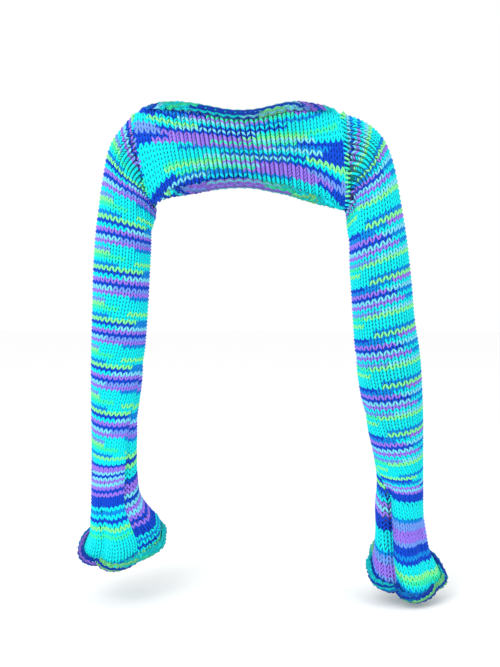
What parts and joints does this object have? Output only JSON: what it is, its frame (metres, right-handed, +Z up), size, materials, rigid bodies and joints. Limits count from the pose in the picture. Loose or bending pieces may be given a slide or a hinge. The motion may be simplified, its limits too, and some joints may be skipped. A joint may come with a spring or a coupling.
{
  "type": "worn knitted shrug",
  "caption": "Open knitted shrug in its worn shape: a back panel between two long bell sleeves, with rolled bare edges and empty neck, hem, armholes and cuffs.",
  "frame": {"origin": "on the line of the shoulders, midway between the two armhole seams, where the wearer holds the garment up", "axes": "+Z up, back of the garment towards -Y, the wearer's left towards -X"},
  "size_m": [0.5466, 0.1648, 0.7167],
  "materials": {
    "yarn": "matt bulky wool yarn, dyed in short runs of cyan, green, lime, blue and violet, knitted in stockinette"
  },
  "bodies": {
    "root": {"back_panel": "yarn", "sleeve_left": "yarn", "sleeve_right": "yarn"}
  },
  "joints": []
}
